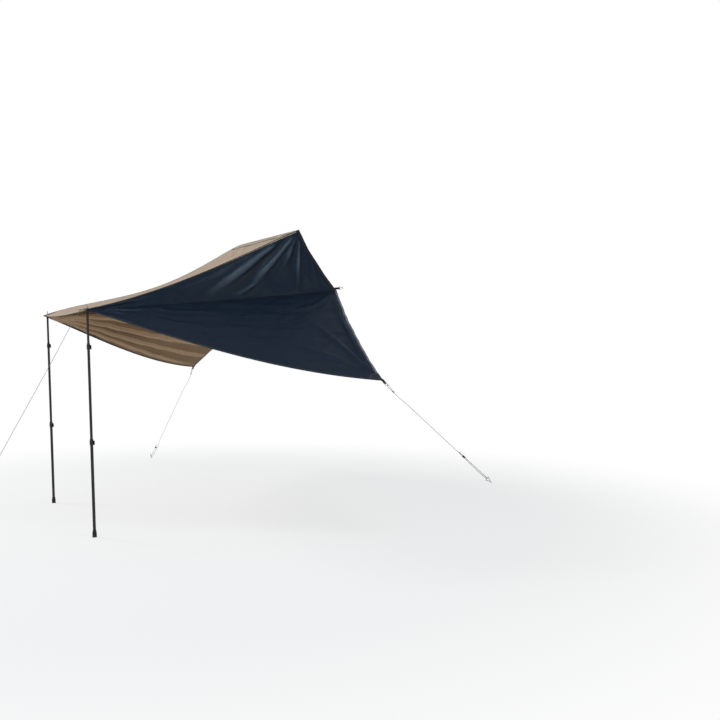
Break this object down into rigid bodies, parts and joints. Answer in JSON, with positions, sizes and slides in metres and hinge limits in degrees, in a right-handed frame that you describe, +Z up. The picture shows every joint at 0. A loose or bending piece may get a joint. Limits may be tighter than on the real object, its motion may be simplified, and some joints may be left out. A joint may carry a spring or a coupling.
{
  "type": "tent awning",
  "caption": "Fabric awning with a sloping roof and two folded side wings, held by its header edge and stretched over two telescopic poles and guy ropes.",
  "frame": {"origin": "middle of the header bead along the roof's upper edge", "axes": "+X along the header towards the near side, +Y from the poles towards the header and past it, +Z up"},
  "size_m": [7.0955, 3.6466, 2.8874],
  "materials": {
    "roof_cloth": "woven, matt, coated polyester",
    "wing_cloth": "woven, slight sheen outside, tan coating inside",
    "tan_webbing": "folded and stitched cloth",
    "navy_webbing": "folded and stitched cloth",
    "dark_webbing": "woven webbing",
    "rope": "braided line",
    "brass": "satin",
    "steel": "zinc plated",
    "black_metal": "semi-gloss powder coat",
    "black_plastic": "moulded, fine grain",
    "rubber": "matt"
  },
  "bodies": {
    "canopy": {"roof_panel": "roof_cloth", "front_hem": "tan_webbing", "header_band": "dark_webbing", "header_bead": "dark_webbing", "near_upper_wing": "wing_cloth", "near_lower_wing": "wing_cloth", "near_ridge_piping": "tan_webbing", "near_seam_piping": "navy_webbing", "near_bottom_hem": "navy_webbing", "near_upper_side_hem": "navy_webbing", "near_lower_side_hem": "navy_webbing", "near_corner_patch": "navy_webbing", "near_pole_patch": "dark_webbing", "near_corner_loop": "dark_webbing", "near_edge_strap": "dark_webbing", "near_grommet": "brass", "near_corner_ring": "steel", "near_edge_hook": "steel", "far_upper_wing": "wing_cloth", "far_lower_wing": "wing_cloth", "far_ridge_piping": "tan_webbing", "far_seam_piping": "navy_webbing", "far_bottom_hem": "navy_webbing", "far_upper_side_hem": "navy_webbing", "far_lower_side_hem": "navy_webbing", "far_corner_patch": "navy_webbing", "far_pole_patch": "dark_webbing", "far_corner_loop": "dark_webbing", "far_edge_strap": "dark_webbing", "far_grommet": "brass", "far_corner_ring": "steel", "far_edge_hook": "steel", "near_pole_rope": "rope", "near_corner_rope": "rope", "far_corner_rope": "rope", "near_pole_peg": "steel", "far_corner_peg": "steel", "near_corner_hook": "steel"},
    "near_pole_top": {"near_pole_cap": "black_plastic", "near_upper_tube": "black_metal"},
    "near_pole_middle": {"near_middle_tube": "black_metal", "near_upper_clamp": "black_plastic"},
    "near_pole_bottom": {"near_lower_tube": "black_metal", "near_lower_clamp": "black_plastic", "near_pole_foot": "rubber"},
    "near_upper_lever_arm": {"near_upper_lever": "black_plastic"},
    "near_lower_lever_arm": {"near_lower_lever": "black_plastic"},
    "far_pole_top": {"far_pole_cap": "black_plastic", "far_upper_tube": "black_metal"},
    "far_pole_middle": {"far_middle_tube": "black_metal", "far_upper_clamp": "black_plastic"},
    "far_pole_bottom": {"far_lower_tube": "black_metal", "far_lower_clamp": "black_plastic", "far_pole_foot": "rubber"},
    "far_upper_lever_arm": {"far_upper_lever": "black_plastic"},
    "far_lower_lever_arm": {"far_lower_lever": "black_plastic"},
    "near_pole_adjuster": {"near_pole_runner": "black_plastic"},
    "near_corner_adjuster": {"near_corner_runner": "black_plastic"},
    "far_corner_adjuster": {"far_corner_runner": "black_plastic"}
  },
  "joints": [
    {"name": "near_pole_tilt", "type": "hinge", "parent": "canopy", "child": "near_pole_top", "pos_m": [0.90634, -2.0182, -0.79958], "axis": [1, 0, 0], "range_deg": [-12, 12]},
    {"name": "near_upper_slide", "type": "slide", "parent": "near_pole_top", "child": "near_pole_middle", "axis": [0, 0.0262, -0.9997], "range_m": [-0.22, 0.5]},
    {"name": "near_lower_slide", "type": "slide", "parent": "near_pole_middle", "child": "near_pole_bottom", "axis": [0, 0.0262, -0.9997], "range_m": [-0.66, 0.02]},
    {"name": "near_upper_lever_turn", "type": "hinge", "parent": "near_pole_middle", "child": "near_upper_lever_arm", "pos_m": [0.91639, -1.99295, -1.09902], "axis": [0, 0.0262, -0.9997], "range_deg": [0, 115]},
    {"name": "near_lower_lever_turn", "type": "hinge", "parent": "near_pole_bottom", "child": "near_lower_lever_arm", "pos_m": [0.91714, -1.97074, -1.89779], "axis": [0, 0.0262, -0.9997], "range_deg": [0, 115]},
    {"name": "far_pole_tilt", "type": "hinge", "parent": "canopy", "child": "far_pole_top", "pos_m": [-0.90634, -2.01839, -0.79419], "axis": [1, 0, 0], "range_deg": [-12, 12]},
    {"name": "far_upper_slide", "type": "slide", "parent": "far_pole_top", "child": "far_pole_middle", "axis": [0, 0.0261, -0.9997], "range_m": [-0.22, 0.5]},
    {"name": "far_lower_slide", "type": "slide", "parent": "far_pole_middle", "child": "far_pole_bottom", "axis": [0, 0.0261, -0.9997], "range_m": [-0.66, 0.02]},
    {"name": "far_upper_lever_turn", "type": "hinge", "parent": "far_pole_middle", "child": "far_upper_lever_arm", "pos_m": [-0.89629, -1.99316, -1.09363], "axis": [0, 0.0261, -0.9997], "range_deg": [0, 115]},
    {"name": "far_lower_lever_turn", "type": "hinge", "parent": "far_pole_bottom", "child": "far_lower_lever_arm", "pos_m": [-0.89554, -1.97087, -1.89779], "axis": [0, 0.0261, -0.9997], "range_deg": [0, 115]},
    {"name": "near_pole_runner_slide", "type": "slide", "parent": "canopy", "child": "near_pole_adjuster", "axis": [0.0329, -0.4795, -0.8769], "range_m": [-0.015, 0.15]},
    {"name": "near_corner_runner_slide", "type": "slide", "parent": "canopy", "child": "near_corner_adjuster", "axis": [0.7064, 0.3613, -0.6086], "range_m": [-0.015, 0.15]},
    {"name": "far_corner_runner_slide", "type": "slide", "parent": "canopy", "child": "far_corner_adjuster", "axis": [-0.7658, -0.0442, -0.6416], "range_m": [-0.015, 0.15]}
  ]
}
